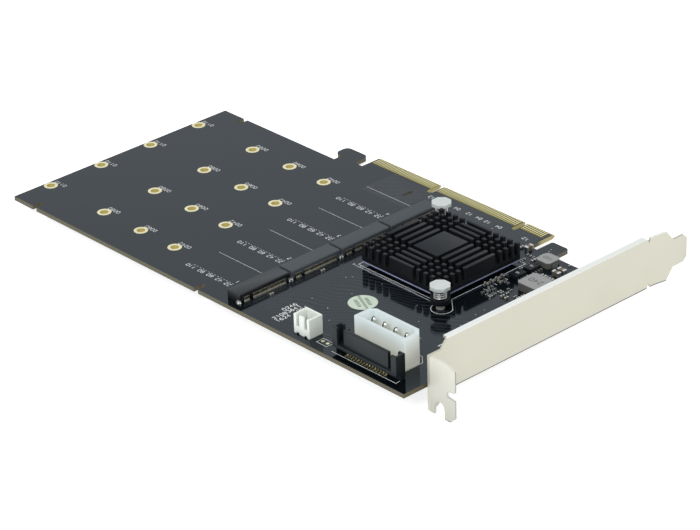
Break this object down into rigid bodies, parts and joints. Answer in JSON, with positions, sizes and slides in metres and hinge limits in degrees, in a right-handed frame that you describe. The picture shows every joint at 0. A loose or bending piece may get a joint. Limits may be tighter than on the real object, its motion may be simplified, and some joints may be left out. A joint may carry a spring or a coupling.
{
  "type": "nvme adapter card",
  "caption": "Full-height expansion card that carries solid-state drive modules on a black board, with a finned switch chip, keyed power headers and a folded steel bracket",
  "frame": {"origin": "the middle of the edge connector's key notch at the contact tip, on the board's top face", "axes": "+X along the board to the bracket, +Y out of the edge connector, +Z off the component side"},
  "size_m": [0.2111, 0.129, 0.023],
  "materials": {
    "board_lacquer": "gloss black solder mask",
    "gold_plate": "gold plated",
    "socket_plastic": "black moulded",
    "solder": "tinned",
    "chip_plastic": "black moulded",
    "pad_silicone": "blue silicone",
    "black_anodised": "black anodised",
    "white_nylon": "white moulded",
    "spring_steel": "bright wire",
    "cream_nylon": "off-white moulded",
    "ferrite": "grey moulded",
    "ceramic_tan": "tan ceramic",
    "ceramic_black": "black glaze",
    "paper_label": "pale green paper",
    "plated_steel": "nickel plated, satin"
  },
  "bodies": {
    "root": {"circuit_board": "board_lacquer", "edge_contacts_top": "gold_plate", "edge_contacts_bottom": "gold_plate", "drive_hole_rings": "gold_plate", "drive_socket_1": "socket_plastic", "drive_socket_feet_1": "solder", "drive_socket_2": "socket_plastic", "drive_socket_feet_2": "solder", "drive_socket_3": "socket_plastic", "drive_socket_feet_3": "solder", "drive_socket_4": "socket_plastic", "drive_socket_feet_4": "solder", "socket_hold_downs": "solder", "switch_chip": "chip_plastic", "thermal_pad": "pad_silicone", "heatsink": "black_anodised", "push_pin_front": "white_nylon", "pin_spring_front": "spring_steel", "push_pin_rear": "white_nylon", "pin_spring_rear": "spring_steel", "fan_header_housing": "cream_nylon", "fan_header_pins": "solder", "disk_power_housing": "cream_nylon", "disk_power_pins": "solder", "serial_power_housing": "socket_plastic", "serial_power_contacts": "gold_plate", "large_inductor": "ferrite", "small_inductor": "ferrite", "inductor_terminals": "solder", "regulator_chips": "chip_plastic", "regulator_leads": "solder", "ceramic_capacitors": "ceramic_tan", "chip_resistors": "ceramic_black", "inspection_sticker": "paper_label", "spare_pads": "gold_plate", "bracket": "plated_steel", "bracket_screws": "plated_steel"}
  },
  "joints": []
}
